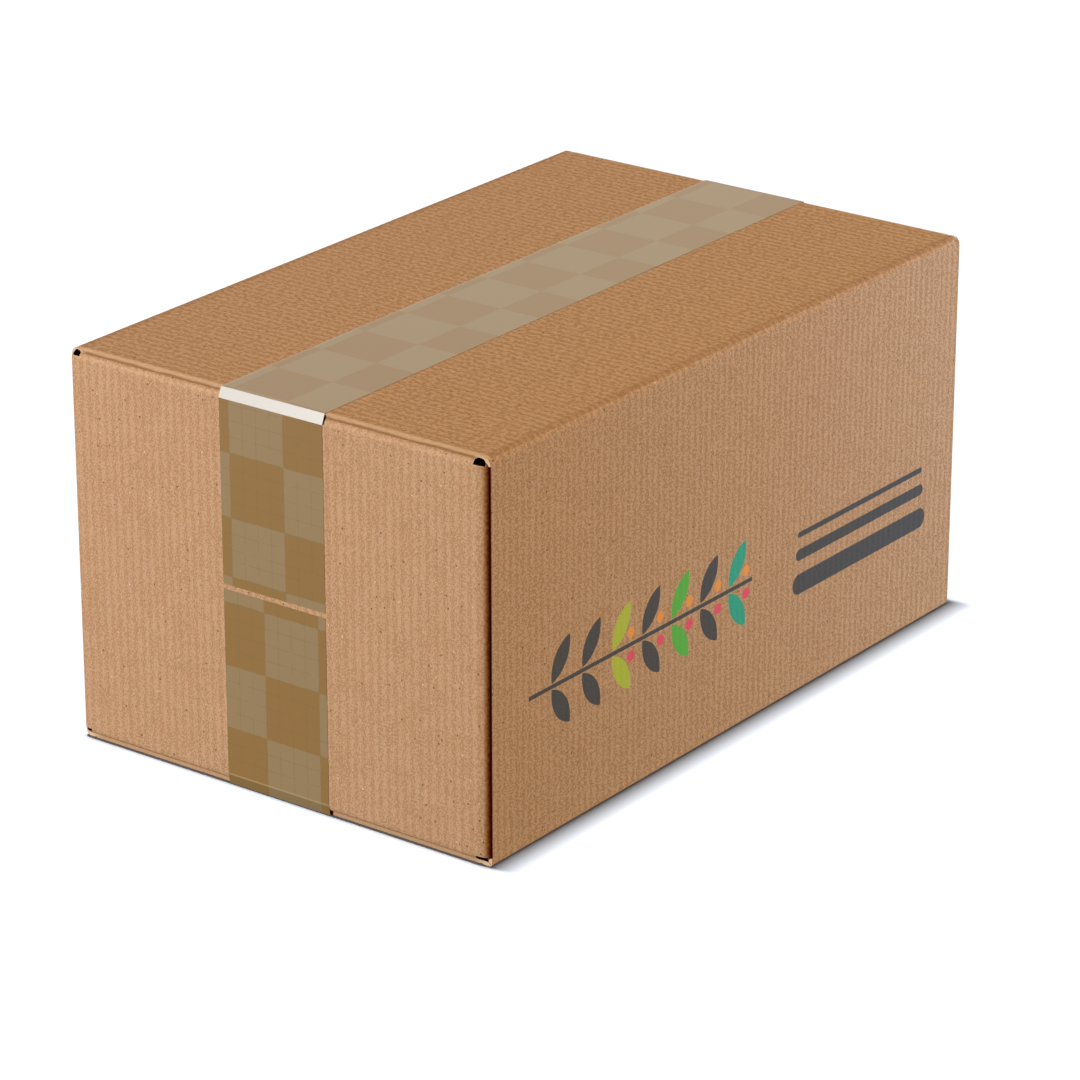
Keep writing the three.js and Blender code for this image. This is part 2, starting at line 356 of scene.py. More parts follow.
def around(low, high):
    """The middle between two limits, and half of what lies between them."""
    return (low + high) / 2, (high - low) / 2


def select_only(piece):
    bpy.ops.object.select_all(action="DESELECT")
    piece.select_set(True)
    bpy.context.view_layer.objects.active = piece


def edit(piece):
    select_only(piece)
    bpy.ops.object.mode_set(mode="EDIT")


def leave_edit():
    bpy.ops.object.mode_set(mode="OBJECT")


def pick(piece, kind, test):
    """In edit mode, selects the vertices, edges or faces that pass the test, and nothing else."""
    bpy.ops.mesh.select_mode(type=kind)
    bpy.ops.mesh.select_all(action="DESELECT")
    form = bmesh.from_edit_mesh(piece.data)
    items = {"VERT": form.verts, "EDGE": form.edges, "FACE": form.faces}[kind]
    for item in items:
        if test(item):
            item.select_set(True)
    form.select_flush_mode()
    bmesh.update_edit_mesh(piece.data)


def ends(edge):
    return edge.verts[0].co, edge.verts[1].co


def along_x(edge):
    first, second = ends(edge)
    return near(first.y, second.y) and near(first.z, second.z)


def settle(piece):
    """Works a piece's place, turn and scale into its mesh."""
    select_only(piece)
    bpy.ops.object.transform_apply(location=True, rotation=True, scale=True)


def place_primitive(name, scale):
    """Names and scales the primitive just added."""
    piece = bpy.context.object
    piece.name = name
    piece.data.name = name
    piece.scale = scale
    settle(piece)
    return piece


def add_block(name, low, high):
    """A box between two opposite corners."""
    low, high = Vector(low), Vector(high)
    bpy.ops.mesh.primitive_cube_add(size=1, location=(low + high) / 2)
    return place_primitive(name, high - low)


def apply_modifier(piece, kind, **settings):
    """Adds a modifier, sets it and applies it."""
    select_only(piece)
    modifier = piece.modifiers.new(kind.lower(), kind)
    for name, value in settings.items():
        setattr(modifier, name, value)
    bpy.ops.object.modifier_apply(modifier=modifier.name)


def turn_about(piece):
    """Turns a piece half round the vertical, so that its other end faces -X."""
    piece.rotation_euler.z = math.pi
    settle(piece)


def press_flutes(piece, axis, start, pitch, depth, skip):
    """Presses the flutes' valleys in along an axis. Vertices that pass the skip test stay at crest height."""
    draw = random.Random(FLUTE_SEED)
    strength = [draw.uniform(SHALLOWEST_FLUTE, 1) for _ in range(FLUTE_DRAWS)]
    columns = {}
    for vertex in piece.data.vertices:
        if not skip(vertex):
            columns.setdefault(round(vertex.co[axis] / TOUCH), []).append(vertex.index)
    valleys = piece.vertex_groups.new(name="valleys")
    for place, members in columns.items():
        turn = (place * TOUCH - start) / pitch
        weight = (0.5 - 0.5 * math.cos(math.tau * turn)) * strength[int(turn) % FLUTE_DRAWS]
        valleys.add(members, weight, "REPLACE")
    apply_modifier(piece, "DISPLACE", vertex_group=valleys.name, mid_level=0, strength=-depth)


def finish_piece(piece, node, materials, crease=SMOOTH_ANGLE):
    """Checks that a piece is closed, gives it its materials and sets it on the frame."""
    form = bmesh.new()
    form.from_mesh(piece.data)
    open_edges = sum(1 for edge in form.edges if not edge.is_manifold)
    form.free()
    if open_edges:
        raise RuntimeError(f"{piece.name} has {open_edges} edges that don't join two faces")
    select_only(piece)
    bpy.ops.object.shade_smooth_by_angle(angle=crease)
    for group in list(piece.vertex_groups):
        piece.vertex_groups.remove(group)
    piece.data.materials.clear()
    for material in materials:
        piece.data.materials.append(material)
    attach(piece, "root")
    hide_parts(node)


def add_node(tree, kind, *values):
    """Adds a node, fills its open inputs in order and gives its first open output.

    A kind can name its variant after a dot. A value is a plain one, another node's output, or None where
    an input keeps its own.
    """
    kind, _, variant = kind.partition(".")
    node = tree.nodes.new("ShaderNode" + kind)
    if variant:
        setattr(node, NODE_VARIANTS[kind], variant)
    open_inputs = [socket for socket in node.inputs if socket.enabled]
    for socket, value in zip(open_inputs, values):
        if isinstance(value, bpy.types.NodeSocket):
            tree.links.new(value, socket)
        elif value is not None:
            socket.default_value = value
    return next((socket for socket in node.outputs if socket.enabled), None)


def start_material(name, surface):
    """A material with one surface shader, whose plain values are set on its own sockets.

    Gives the material, add_node for its tree, and the shader's inputs.
    """
    material = bpy.data.materials.new(name)
    material.use_nodes = True
    material.node_tree.nodes.clear()
    node = partial(add_node, material.node_tree)
    shader = node("BsdfPrincipled")
    node("OutputMaterial", shader)
    inputs = shader.node.inputs
    for socket, value in surface.items():
        inputs[socket].default_value = value
    return material, node, inputs


def lay_tones(node, base, tones):
    """Lays tones over a base colour. Each has its strength, its tint and masks, which are multiplied."""
    for share, tint, *masks in tones:
        for mask in masks:
            share = node("Math.MULTIPLY", mask, share)
        base = node("Mix.RGBA", share, base, tint)
    return base


def kraft_paper(node, board, axis, flute_tone, fineness, grain_tone):
    """Kraft liner over flutes: broken, wandering lines, partly painted shade in the flutes' valleys, under a
    fine grain, with warm clouds and specks.

    Gives the place on the board, the paper's colour and its light and dark as one number.
    """
    place = node("TexCoord").node.outputs["Object"]
    stretch = [1, 1, 1]
    stretch[axis] = FIBRE_LENGTH / FIBRE_WIDTH
    fibres = node("VectorMath.MULTIPLY", place, stretch)
    grain = node("VectorMath.MULTIPLY", place, fineness)

    # The flutes' lines: the paper's own tone, with painted shade deepening the valleys
    across = node("SeparateXYZ", place).node.outputs[axis]
    wander = node("TexNoise", place, 1 / WANDER_LENGTH, UNEVEN)
    shifted = node("Math.MULTIPLY_ADD", wander, FLUTE_WANDER, across)
    turn = node("Math.MULTIPLY", shifted, math.tau / board.flute_pitch)
    wave = node("Math.COSINE", turn)
    breaks = node("TexNoise", place, 1 / BREAK_LENGTH, EVEN)
    flutes = node("Math.MULTIPLY", wave, breaks)
    layers = (
        (flutes, 0, flute_tone),
        (node("TexNoise", grain, 1 / GRAIN, EVEN), NOISE_MIDDLE, grain_tone),
        (node("TexNoise", fibres, 1 / FIBRE_LENGTH, EVEN), NOISE_MIDDLE, FIBRE_TONE),
        (node("TexNoise", place, 1 / MOTTLE, ROUGH), NOISE_MIDDLE, MOTTLE_TONE),
    )
    tone = 0.5  # halfway from valley to crest
    for layer, middle, weight in layers:
        swing = node("Math.SUBTRACT", layer, middle)
        tone = node("Math.MULTIPLY_ADD", swing, weight, tone)
    paper = node("Mix.RGBA", tone, board.valley, board.crest)
    tones = [(WARM_SHARE, board.warm, node("TexNoise", fibres, 1 / WARM_SIZE, UNEVEN))]
    for spacing, size, tint in (
        (SPECK_SPACING, SPECK_SIZE, board.speck),
        (FLECK_SPACING, FLECK_SIZE, board.pale),
    ):
        distance = node("TexVoronoi", place, 1 / spacing)
        tones.append((SPECK_SHARE, tint, node("Math.LESS_THAN", distance, size / spacing)))
    return place, lay_tones(node, paper, tones), tone


def kraft_board(name, board, axis, paper_settings, dress, gloss=PAPER_GLOSS):
    """Outside of the corrugated board, dressed for where it is on the carton."""
    # Kraft liner glued over fluting: matt brown paper, on which the flutes show as soft lines
    material, node, inputs = start_material(name, {"Roughness": PAPER_ROUGHNESS, "Specular IOR Level": gloss})
    place, paper, tone = kraft_paper(node, board, axis, *paper_settings)
    links = material.node_tree.links
    links.new(dress(node, place, paper), inputs["Base Color"])
    links.new(node("Bump", GRAIN_BUMP, GRAIN_RELIEF, None, tone), inputs["Normal"])
    return material


def cut_board(board):
    """Cut edges of the flaps, with painted shadow under the tape and just beside it."""
    # Corrugated board cut through: rough and pale, with the brown line of its core, darkened with painted
    # shade of the crease under the flap
    surface = {"Roughness": 0.95, "Specular IOR Level": 0.1}
    material, node, inputs = start_material("cut_corrugated_board", surface)
    place = node("TexCoord").node.outputs["Object"]
    _, across, level = node("SeparateXYZ", place).node.outputs
    fuzz = node("TexNoise", place, 1 / GRAIN, ROUGH)
    edge = node("Mix.RGBA", fuzz, board.valley, board.cut)

    ragged = node("TexNoise", place, 1 / CORE_WAVE, UNEVEN)
    lowest = board.height - CORE_DEPTH - CORE_WANDER / 2
    line = node("Math.MULTIPLY_ADD", ragged, CORE_WANDER, lowest)
    off_line = node("Math.SUBTRACT", level, line)
    off_line = node("Math.ABSOLUTE", off_line)
    outward = node("Math.ABSOLUTE", across)
    inward = node("Math.SUBTRACT", board.width / 2, outward)
    tones = []
    for distance, (start, full, strength), tint in (
        (off_line, CORE_AND_CREASE_SHADE_BAND, board.crease),
        (inward, RIM_BAND, board.pale),
    ):
        tones.append((strength, tint, node("MapRange", distance, start, full)))
    # Painted shadow under the tape and just beside it
    under_tape_shadow = node("Math.COMPARE", across, *around(TAPE_LOW.y - TAPE_SHADOW_MARGIN, TAPE_HIGH.y))
    tones.append((1, board.gap, under_tape_shadow))
    material.node_tree.links.new(lay_tones(node, edge, tones), inputs["Base Color"])
    return material


def painted_shade_board(board):
    """Painted shade: the inside of the carton, which shows in the slots."""
    # Painted shade: board that no light reaches, coloured all but black
    surface = {"Base Color": board.unlit, "Roughness": 1, "Specular IOR Level": 0}
    return start_material("painted_shade_inside", surface)[0]


def dress_end(board):
    """Painted shade in the creases under the flaps and under the tape, a painted highlight on the upper
    folds, and the glue stain with painted shade of the glued joint.
    """

    def dress(node, place, paper):
        along, across, level = node("SeparateXYZ", place).node.outputs
        off_middle = node("Math.SUBTRACT", level, board.height / 2)
        off_middle = node("Math.ABSOLUTE", off_middle)
        depth = node("Math.SUBTRACT", board.height / 2 - board.thickness, off_middle)
        upper = node("Math.GREATER_THAN", level, board.height / 2)
        lower = node("Math.SUBTRACT", 1, upper)
        # Painted highlight on the upper folds
        fold = node("MapRange.SMOOTHSTEP", depth, *END_FOLD_HIGHLIGHT_START)
        fold = node("Math.MULTIPLY", fold, upper)
        # Painted shadow under the tape, on the upper crease
        under_tape_shadow = node("Math.COMPARE", across, *around(TAPE_LOW.y - TAPE_SHADOW_MARGIN, TAPE_HIGH.y))
        under_tape_shadow = node("Math.MULTIPLY", under_tape_shadow, upper)
        front = node("Math.LESS_THAN", along, 0)
        ragged = node("TexNoise", place, 1 / RAGGED, UNEVEN)
        ragged = node("Math.SUBTRACT", ragged, NOISE_MIDDLE)
        inward = node("Math.ADD", across, board.width / 2)
        inward = node("Math.MULTIPLY_ADD", ragged, JOINT_SHADE_WANDER, inward)
        tones = []
        for where, distance, (start, full, strength), tint in (
            (fold, depth, END_FOLD_HIGHLIGHT_BAND, board.pale),
            (lower, depth, END_CREASE_SHADE_BAND, board.crease),
            (under_tape_shadow, depth, UNDER_TAPE_SHADOW_BAND, board.unlit),
            # Glue stain and painted shade, darkening towards the joint's gap
            (front, inward, JOINT_STAIN_SHADE_BAND, board.stain_and_shade),
            (front, inward, JOINT_GLUE_SHADE_BAND, board.glue_and_shade),
            (front, inward, JOINT_GAP_SHADE_BAND, board.gap),
        ):
            tones.append((strength, tint, node("MapRange.SMOOTHSTEP", distance, start, full), where))
        return lay_tones(node, paper, tones)

    return dress


def paint_edge_light_and_shade(board):
    """Paler crushed edges of the flaps, partly rubbed paper and partly painted highlight, and painted shade
    in bands beside them and along the long folds.
    """

    def dress(node, place, paper):
        along, across, _ = node("SeparateXYZ", place).node.outputs
        ragged = node("TexNoise", place, 1 / RAGGED, UNEVEN)
        tones = []
        for part, reach, (start, full, strength), tint in (
            (across, board.width / 2, FOLD_SHADE_BAND, board.crease),
            (along, board.span / 2, FLAP_SHADE_BAND, board.crease),
            (along, board.span / 2, FLAP_RUB_HIGHLIGHT_BAND, board.pale),
        ):
            outward = node("Math.ABSOLUTE", part)
            inward = node("Math.SUBTRACT", reach, outward)
            inward = node("Math.MULTIPLY_ADD", ragged, EDGE_BAND_WANDER, inward)
            tones.append((strength, tint, node("MapRange.SMOOTHSTEP", inward, start, full)))
        return lay_tones(node, paper, tones)

    return dress


def in_disc(node, u, v, radius):
    """1 where a point is within a radius of the origin of u and v, and 0 elsewhere."""
    offset = node("CombineXYZ", u, v)
    reach = node("VectorMath.LENGTH", offset)
    return node("Math.LESS_THAN", reach, radius)


def print_leaves(node, run, rise):
    """Masks of the sprig's stem, leaves and berries, and the number of the pair, from 0, at each place."""
    height = node("Math.ABSOLUTE", rise)
    pair = node("Math.DIVIDE", run, LEAF_PITCH)
    pair = node("Math.FLOOR", pair)
    step = node("Math.FLOORED_MODULO", run, LEAF_PITCH)
    step = node("Math.SUBTRACT", step, LEAF_START)

    cosine, sine = math.cos(LEAF_TILT), math.sin(LEAF_TILT)
    raised = node("Math.MULTIPLY", height, sine)
    reach = node("Math.MULTIPLY_ADD", step, cosine, raised)
    lagging = node("Math.MULTIPLY", step, -sine)
    swing = node("Math.MULTIPLY_ADD", height, cosine, lagging)
    half, side = LEAF_LENGTH / 2, LEAF_WIDTH / 2
    radius = (half * half + side * side) / (2 * side)
    leaf_u = node("Math.SUBTRACT", reach, half + LEAF_STALK)
    leaf_v = node("Math.ABSOLUTE", swing)
    leaf_v = node("Math.ADD", leaf_v, radius - side)
    leaf = in_disc(node, leaf_u, leaf_v, radius)

    berry_u = node("Math.SUBTRACT", step, BERRY_STEP)
    berry_v = node("Math.SUBTRACT", height, BERRY_RISE)
    berry = in_disc(node, berry_u, berry_v, BERRY_RADIUS)
    stem = node("Math.LESS_THAN", height, STEM_WIDTH / 2)
    return stem, leaf, berry, pair


def print_sides(board, inks):
    """Prints the long sides with a sprig of leaves and berries, and three bars beside it."""

    def dress(node, place, paper):
        along, across, level = node("SeparateXYZ", place).node.outputs
        facing = node("Math.SIGN", across)
        run = node("Math.MULTIPLY", along, facing)
        run = node("Math.MULTIPLY", run, -1)
        outward = node("Math.ABSOLUTE", across)
        on_side = node("Math.GREATER_THAN", outward, board.width / 2 - PRINT_DEPTH)
        rise = node("Math.SUBTRACT", level, SPRIG_HEIGHT)
        on_stem = node("Math.SUBTRACT", run, SPRIG_START)
        stem, leaf, berry, pair = print_leaves(node, on_stem, rise)

        sprig = LEAF_PITCH * LEAF_PAIRS
        in_sprig = node("Math.COMPARE", on_stem, *around(0, sprig))
        in_stem = node("Math.COMPARE", on_stem, *around(-LEAF_PITCH / 2, sprig + LEAF_STALK))
        with_berries = node("Math.GREATER_THAN", pair, BARE_PAIRS - 0.5)
        below = node("Math.LESS_THAN", rise, 0)
        berry_ink = node("Mix.RGBA", below, inks.orange, inks.red)
        along_sprig = node("Math.ADD", pair, 0.5)
        along_sprig = node("Math.DIVIDE", along_sprig, LEAF_PAIRS)
        leaf_ink = node("ValToRGB", along_sprig)
        ramp = leaf_ink.node.color_ramp
        ramp.interpolation = "CONSTANT"
        dark = inks.charcoal
        shades = (dark, dark, inks.lime, dark, inks.green, dark, inks.teal)
        # A ramp has two stops from the start
        for index, shade in enumerate(shades):
            stop = ramp.elements[index] if index < 2 else ramp.elements.new(1)
            stop.position = index / len(shades)
            stop.color = shade

        tones = [
            (INK_COVER, dark, on_side, stem, in_stem),
            (INK_COVER, leaf_ink, on_side, in_sprig, leaf),
            (INK_COVER, berry_ink, on_side, in_sprig, berry, with_berries),
        ]
        off_bar = node("Math.SUBTRACT", run, BAR_MIDDLE)
        off_bar = node("Math.ABSOLUTE", off_bar)
        past_bar = node("Math.SUBTRACT", off_bar, BAR_LENGTH / 2)
        past_bar = node("Math.MAXIMUM", past_bar, 0)
        for bar_level, thickness in BARS:
            above_bar = node("Math.SUBTRACT", level, bar_level)
            tones.append((INK_COVER, dark, on_side, in_disc(node, past_bar, above_bar, thickness / 2)))
        # Painted shade of the joint's gap, on the side panel's edge beside it
        joint_side = node("Math.LESS_THAN", across, 0)
        joint_edge = node("Math.LESS_THAN", along, JOINT_SHADE_EDGE - board.span / 2)
        joint_level = node("Math.COMPARE", level, *around(*joint_stretch(board)))
        tones.append((1, board.gap, joint_side, joint_edge, joint_level))
        return lay_tones(node, paper, tones)

    return dress


def packing_tape(name, tape, board, upper):
    """A strip's check with fine rules, a paler line along its rim or where the film bends, painted highlight
    on the upper strip where it hangs free, and painted shade on the lower one's bridge.
    """
    # Polypropylene film, printed on its underside: smooth, with a dull gloss
    material, node, inputs = start_material(name, {"Roughness": 0.3, "IOR": 1.5})
    place = node("TexCoord").node.outputs["Object"]
    along, across, level = node("SeparateXYZ", place).node.outputs
    column_start, row_start = (UPPER_COLUMN, UPPER_ROW) if upper else (LOWER_COLUMN, LOWER_ROW)
    outer = node("Math.ABSOLUTE", along)
    on_leg = node("Math.GREATER_THAN", outer, board.span / 2 + END_PROUD / 2)
    low_half = node("Math.LESS_THAN", level, SHORT_CHECK_HEIGHT if upper else 0)
    leg_row = node("Math.MULTIPLY_ADD", low_half, -SHORT_CHECK, level)
    leg_row = node("Math.SUBTRACT", leg_row, row_start)
    flat_row = node("Math.ADD", along, board.span / 2 - FLAT_START)
    row = node("Mix", on_leg, flat_row, leg_row)
    row = node("Math.DIVIDE", row, tape.cell)
    column = node("Math.SUBTRACT", across, column_start)
    column = node("Math.DIVIDE", column, tape.cell)
    whole_row = node("Math.FLOOR", row)
    whole_column = node("Math.FLOOR", column)
    parity = node("Math.ADD", whole_row, whole_column)
    parity = node("Math.FLOORED_MODULO", parity, 2)
    film = node("Mix.RGBA", parity, tape.deep, tape.pale)

    breaks = node("TexNoise", place, 1 / RULE_BREAK, EVEN)
    shown = node("Math.GREATER_THAN", breaks, RULE_GAPS)
    tones = []
    for count in (row, column):
        # Distance from the nearest rule, in steps between two rules
        offset = node("Math.MULTIPLY", count, RULES)
        offset = node("Math.PINGPONG", offset, 0.5)
        rule = node("Math.LESS_THAN", offset, RULE_WIDTH / 2 * RULES / tape.cell)
        tones.append((RULE_SHARE, tape.rule, rule, shown, on_leg))
    if upper:
        over_top = node("Math.GREATER_THAN", level, board.height)
        at_rim = node("Math.GREATER_THAN", across, TAPE_HIGH.y - CREASE_WIDTH)
        off_flap = node("Math.GREATER_THAN", outer, board.span / 2)
        on_bridge = node("Math.GREATER_THAN", level, board.height - tape.bridge)
        # A paler rim over the top, and painted highlight, partly milky loose film, where the strip spans the
        # flap's edge
        tones.append((RIM_SHARE, tape.milky_and_highlight, at_rim, over_top))
        tones.append((1, tape.milky_and_highlight, off_flap, on_bridge))
    else:
        # Painted shade on the lower bridge, which faces down, and a paler line along its bend
        low_bridge_shade = node("Math.LESS_THAN", level, tape.low_bridge)
        crease = node("Math.COMPARE", level, tape.low_bridge, CREASE_WIDTH / 2)
        tones.append((LOW_BRIDGE_SHADE_SHARE, tape.rule, low_bridge_shade))
        tones.append((CREASE_SHARE, tape.bend, crease))
    material.node_tree.links.new(lay_tones(node, film, tones), inputs["Base Color"])
    return material


def fold_radius(board, side, level):
    """Outside radius of the long fold nearest to a side and a height."""
    if side < 0:
        return board.low_fold if level < board.height / 2 else board.top_fold
    return board.far_low_fold if level < board.height / 2 else board.far_fold


def on_outside(board, point):
    """True on the sleeve's outer face: less than half the board's thickness below its rounded section."""
    upper = point.z > board.height / 2
    radius = fold_radius(board, point.y, point.z)
    past_side = abs(point.y) - board.width / 2 + radius
    past_level = (point.z - board.height if upper else UNDERSIDE - point.z) + radius
    if past_side > 0 and past_level > 0:
        depth = radius - math.hypot(past_side, past_level)
    else:
        depth = radius - max(past_side, past_level)
    return depth < board.thickness / 2


def joint_stretch(board):
    """Lowest and highest point of the glued joint's gap, between the two slots."""
    return LOW_SLOTS["joint"][3], board.height + TOP_SLOTS["joint"][2]


def on_joint_lip(board, point):
    """True on the side panel's crushed edge at the glued joint."""
    low, high = joint_stretch(board)
    beside = point.x < 0 and point.y < board.thickness - board.width / 2
    return beside and low < point.z < high


def fold_sleeve(board):
    """The side panels and the long flaps, folded into a sleeve that is open at both ends."""
    half_span = board.span / 2
    half_width = board.width / 2
    sleeve = add_block(
        "carton_sleeve", (-half_span, -half_width, UNDERSIDE), (half_span, half_width, board.height)
    )
    edit(sleeve)
    for side in (-1, 1):
        for level in (UNDERSIDE, board.height):
            pick(
                sleeve,
                "EDGE",
                lambda edge: along_x(edge)
                and near(ends(edge)[0].z, level)
                and near(ends(edge)[0].y, side * half_width),
            )
            radius = fold_radius(board, side, level)
            bpy.ops.mesh.bevel(offset=radius, segments=FOLD_STEPS, affect="EDGES")
    pick(sleeve, "FACE", lambda face: abs(face.normal.x) > FACING)
    bpy.ops.mesh.delete(type="ONLY_FACE")
    press_scores(sleeve, board)
    leave_edit()

    apply_modifier(sleeve, "SOLIDIFY", thickness=board.thickness, offset=-1, use_even_offset=True)
    thin_joint_lip(sleeve, board)
    cut_columns(sleeve, board)

    def stays(vertex):
        return near(abs(vertex.co.x), half_span) or not on_outside(board, vertex.co)

    pitch = board.span / round(board.span / board.flute_pitch)
    press_flutes(sleeve, X_AXIS, -half_span, pitch, board.flute_depth, stays)
    crush_edges(sleeve, board, pitch / FLUTE_STEPS)
    part_joint_lip(sleeve, board)
    for glued in (False, True):
        turn_about(sleeve)
        cut_slots(sleeve, board, glued)
    return sleeve


def press_scores(sleeve, board):
    """Presses a score line into the flaps beside each long fold."""
    score = board.width / 2 - board.score_inset
    for side in (-1, 1):
        for shift in (-board.score_width / 2, 0, board.score_width / 2):
            bpy.ops.mesh.select_all(action="SELECT")
            bpy.ops.mesh.bisect(plane_co=(0, side * (score + shift), 0), plane_no=(0, 1, 0))
    for level, press in ((board.height, -board.score_depth), (UNDERSIDE, board.score_depth)):
        pick(
            sleeve,
            "EDGE",
            lambda edge: along_x(edge) and near(abs(ends(edge)[0].y), score) and near(ends(edge)[0].z, level),
        )
        bpy.ops.transform.translate(value=(0, 0, press))


def crush_edges(sleeve, board, step):
    """Rounds the top flaps' edges at both ends, over a few columns of faces."""
    edit(sleeve)
    for column in range(CRUSH_COLUMNS):
        reach = board.span / 2 - column * step
        drop = board.crush * (1 - column / CRUSH_COLUMNS) ** 2
        pick(sleeve, "VERT", lambda v: near(abs(v.co.x), reach) and v.co.z > board.height - board.crush)
        bpy.ops.transform.translate(value=(0, 0, -drop))
    leave_edit()


def thin_joint_lip(sleeve, board):
    """Crushes the side panel's edge at the glued joint, between the two slots."""
    front = -board.span / 2
    inner_face = -board.width / 2 + board.thickness
    low, high = joint_stretch(board)
    cuts = [((front + END_EMBED, 0, 0), (1, 0, 0))]
    for level in (low - LIP_TAPER, low, high, high + LIP_TAPER):
        cuts.append(((0, 0, level), (0, 0, 1)))
    edit(sleeve)
    for place, across in cuts:
        pick(
            sleeve,
            "FACE",
            lambda face: face.normal.y > FACING and near(face.calc_center_median().y, inner_face),
        )
        bpy.ops.mesh.bisect(plane_co=place, plane_no=across)
    pick(
        sleeve,
        "VERT",
        lambda v: near(v.co.x, front)
        and near(v.co.y, inner_face)
        and low - TOUCH < v.co.z < high + TOUCH,
    )
    bpy.ops.transform.translate(value=(0, board.joint_lip - board.thickness, 0))
    leave_edit()


def part_joint_lip(sleeve, board):
    """Parts the cut edge beside the glued joint where its crushed stretch starts and stops."""
    inner_face = -board.width / 2 + board.thickness
    edit(sleeve)
    for level in joint_stretch(board):
        pick(
            sleeve,
            "FACE",
            lambda face: face.normal.x < -FACING and face.calc_center_median().y < inner_face,
        )
        bpy.ops.mesh.bisect(plane_co=(0, 0, level), plane_no=(0, 0, 1))
    leave_edit()


def cut_columns(sleeve, board):
    """Cuts the sleeve's outer face into its flutes, and each flute into columns."""
    edit(sleeve)
    for pieces in (round(board.span / board.flute_pitch), FLUTE_STEPS):
        pick(sleeve, "EDGE", lambda edge: along_x(edge) and on_outside(board, ends(edge)[0]))
        bpy.ops.mesh.subdivide(number_cuts=pieces - 1)
    leave_edit()


def bend_end_panel(name, board, glued):
    """An end panel at the -X end. A glued one stops short of the -Y side, at the joint."""
    half_width = board.width / 2
    flat = -board.span / 2 - END_PROUD
    low = board.thickness
    high = board.height - board.thickness
    stop = board.joint_lip + board.joint_gap if glued else 0
    near_edge = stop - half_width
    breadth = half_width - near_edge
    step = breadth / round(breadth / board.flute_pitch * FLUTE_STEPS)
    rows = 2 * FOLD_STEPS + 1
    bpy.ops.mesh.primitive_grid_add(
        x_subdivisions=round(breadth / step),
        y_subdivisions=rows,
        size=1,
        location=(flat, (near_edge + half_width) / 2, board.height / 2),
        rotation=(math.pi / 2, 0, -math.pi / 2),
    )
    panel = place_primitive(name, (breadth, high - low, 1))

    edit(panel)
    bend_rows(panel, board, low, high, rows)
    bend_columns(panel, half_width, -1, board.corner_run, END_PROUD, step)
    run = board.joint_run - stop if glued else board.corner_run
    depth = END_PROUD + board.joint_depth if glued else END_PROUD
    bend_columns(panel, near_edge, 1, run, depth, step)
    leave_edit()

    def stays(vertex):
        return near(vertex.co.y, half_width)

    press_flutes(panel, Y_AXIS, near_edge, board.flute_pitch, board.flute_depth, stays)

    edit(panel)
    pick(panel, "EDGE", lambda edge: edge.is_boundary)
    bpy.ops.mesh.extrude_edges_move(TRANSFORM_OT_translate={"value": (0, 0, 0)})
    tuck = 1 - END_TUCK / half_width
    back = END_EMBED - board.span / 2
    bpy.ops.transform.resize(value=(0, tuck, tuck), center_override=(back, 0, board.height / 2))
    bpy.ops.mesh.edge_face_add()
    leave_edit()
    cut_slots(panel, board, glued)
    return panel


def bend_rows(panel, board, low, high, rows):
    """Turns the panel's top and bottom rows in under the flaps, in quarter ellipses."""
    depth = END_PROUD + board.end_reach
    step = (high - low) / rows
    for border, inward in ((low, 1), (high, -1)):
        for row in range(FOLD_STEPS + 1):
            turn = math.pi / 2 * row / FOLD_STEPS
            pick(panel, "VERT", lambda v: near(v.co.z, border + inward * row * step))
            rise = board.end_drop * (1 - math.cos(turn)) - row * step
            bpy.ops.transform.translate(value=(depth * (1 - math.sin(turn)), 0, inward * rise))


def bend_columns(panel, border, inward, run, depth, step):
    """Turns the columns beside one vertical border back, in a quarter ellipse."""
    columns = round(run / step)
    for column in range(columns + 1):
        turn = math.pi / 2 * column / columns
        pick(panel, "VERT", lambda v: near(v.co.y, border + inward * column * step))
        shift = run * (1 - math.cos(turn)) - column * step
        bpy.ops.transform.translate(value=(depth * (1 - math.sin(turn)), inward * shift, 0))


def slot_blocks(board, glued):
    """Low and high corners of the slots at the -X end, and whether each has an arched head.

    They reach well past the end panel, in front and behind.
    """
    front = -board.span / 2 - 2 * END_PROUD
    back = -board.span / 2 + 2 * END_EMBED
    blocks = []
    for side in (-1, 1):
        at_joint = glued and side < 0
        for upper, table in ((True, TOP_SLOTS), (False, LOW_SLOTS)):
            outer, inner, low, high = table["joint" if at_joint else "fold"]
            across = sorted((side * (board.width / 2 - outer), side * (board.width / 2 - inner)))
            base = board.height if upper else 0
            blocks.append(((front, across[0], base + low), (back, across[1], base + high), upper))
    return blocks


def cut_slots(piece, board, glued):
    """Cuts the slots at the -X end's corners out of a piece."""
    for low, high, upper in slot_blocks(board, glued):
        cutter = add_block("slot_cutter", low, high)
        if upper:
            edit(cutter)
            pick(cutter, "EDGE", lambda edge: along_x(edge) and near(ends(edge)[0].z, high[2]))
            radius = (high[2] - low[2]) * SLOT_ARCH
            bpy.ops.mesh.bevel(offset=radius, segments=FOLD_STEPS, affect="EDGES")
            leave_edit()
        apply_modifier(piece, "BOOLEAN", object=cutter, operation="DIFFERENCE", solver="MANIFOLD")
        bpy.data.objects.remove(cutter)


def in_slot(board, glued, point):
    """True on the walls of the slots at the -X end."""
    for low, high, _ in slot_blocks(board, glued):
        if all(low[i] - 2 * TOUCH < point[i] < high[i] + 2 * TOUCH for i in range(3)):
            return True
    return False


